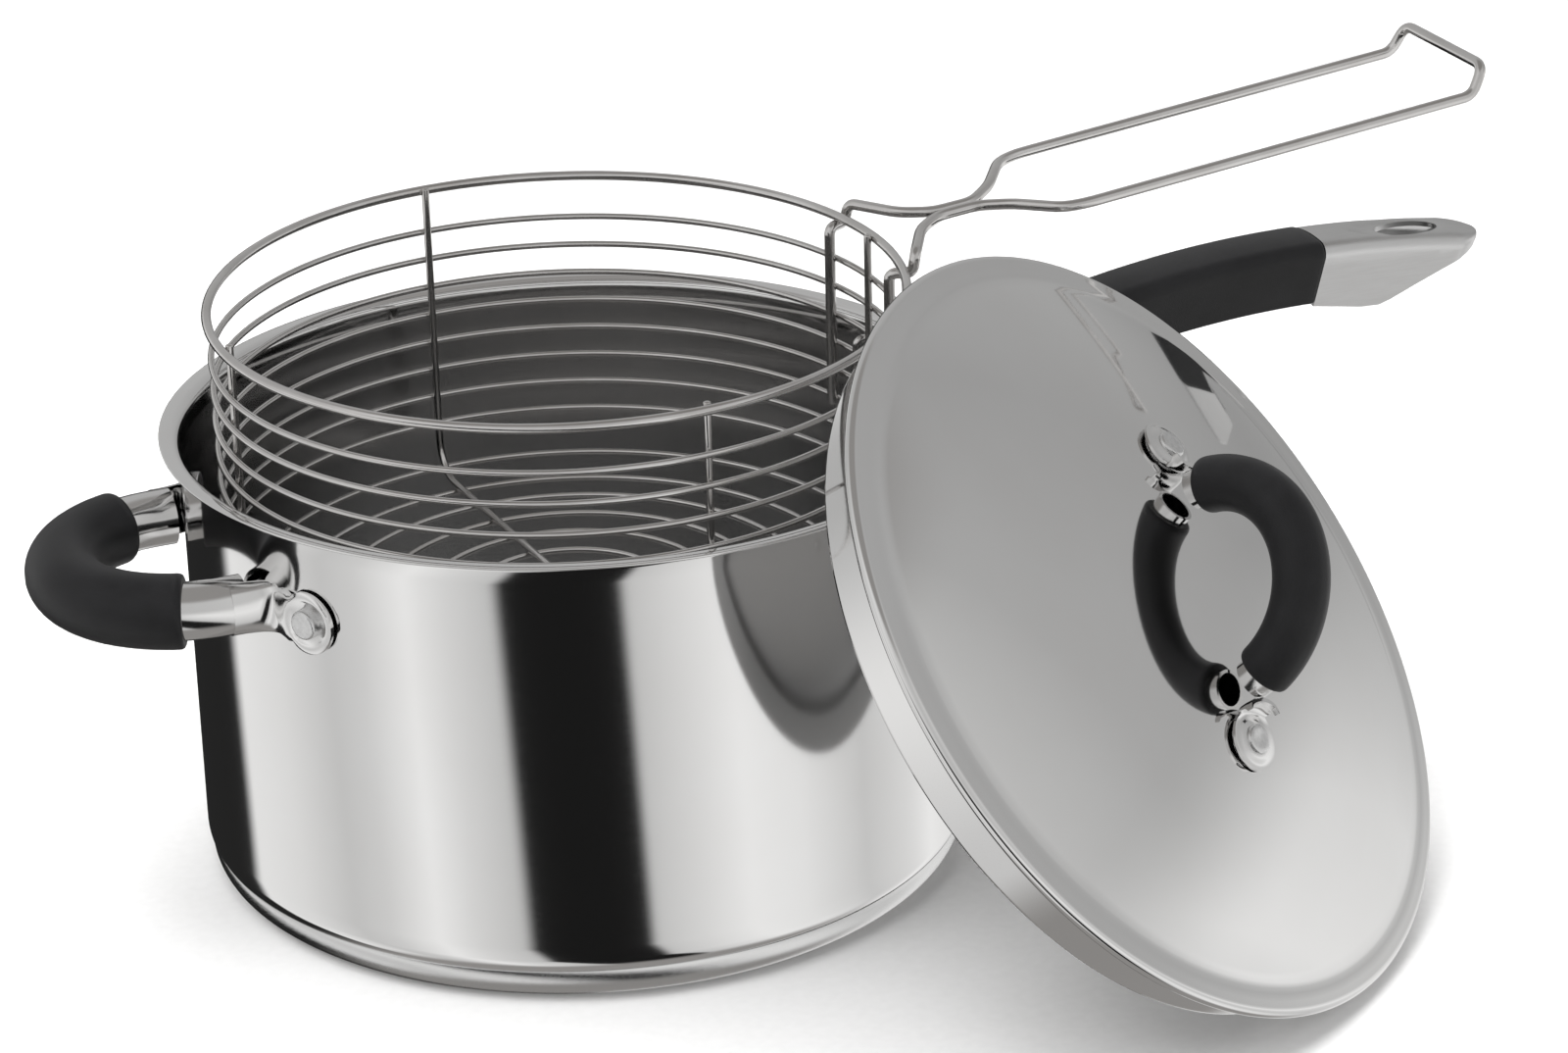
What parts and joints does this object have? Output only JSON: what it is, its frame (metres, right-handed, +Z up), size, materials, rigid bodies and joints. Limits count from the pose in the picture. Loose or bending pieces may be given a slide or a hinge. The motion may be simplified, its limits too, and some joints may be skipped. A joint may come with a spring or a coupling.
{
  "type": "stovetop deep fryer pan",
  "caption": "Steel stovetop chip pan with sandwich base, looped and long handles, lift-out wire basket and domed lid leaning against its side.",
  "frame": {"origin": "centre of the pan's base on the table", "axes": "+Z up, +X along the long handle, +Y to the left of it seen from above"},
  "size_m": [0.4947, 0.3674, 0.2184],
  "materials": {
    "polished_steel": "mirror polished stainless steel",
    "base_steel": "turned and polished stainless steel",
    "core_aluminium": "bare aluminium",
    "satin_steel": "satin brushed stainless steel",
    "tube_steel": "polished folded steel tube",
    "rivet_metal": "satin",
    "silicone": "matt black silicone",
    "wire_steel": "bright drawn wire",
    "screw_steel": "plain zinc plated"
  },
  "bodies": {
    "pan": {"pan_shell": "polished_steel", "base_core": "core_aluminium", "base_cap": "base_steel", "helper_tube": "tube_steel", "helper_grip": "silicone", "helper_rivets": "rivet_metal", "handle_bracket": "satin_steel", "bracket_rivets": "rivet_metal", "handle_screw": "screw_steel", "handle_body": "satin_steel", "handle_grip": "silicone"},
    "basket": {"basket_top_ring": "wire_steel", "basket_side_ring_1": "wire_steel", "basket_side_ring_2": "wire_steel", "basket_side_ring_3": "wire_steel", "basket_side_ring_4": "wire_steel", "basket_side_ring_5": "wire_steel", "basket_side_ring_6": "wire_steel", "basket_side_ring_7": "wire_steel", "basket_side_ring_8": "wire_steel", "basket_corner_ring": "wire_steel", "basket_floor_ring_1": "wire_steel", "basket_floor_ring_2": "wire_steel", "basket_floor_ring_3": "wire_steel", "basket_floor_ring_4": "wire_steel", "basket_floor_ring_5": "wire_steel", "basket_floor_ring_6": "wire_steel", "basket_rib_1": "wire_steel", "basket_rib_2": "wire_steel", "basket_rib_3": "wire_steel", "basket_rib_4": "wire_steel", "basket_handle": "wire_steel", "basket_rest_hook": "wire_steel"},
    "lid": {"lid_shell": "polished_steel", "lid_tube": "tube_steel", "lid_grip": "silicone", "lid_rivets": "rivet_metal"}
  },
  "joints": [
    {"name": "basket_lift", "type": "slide", "parent": "pan", "child": "basket", "axis": [0, 0, 1], "range_m": [0, 0.11]},
    {"name": "lid_lift", "type": "slide", "parent": "pan", "child": "lid", "axis": [0.483, -0.6227, 0.6157], "range_m": [0, 0.15]}
  ]
}
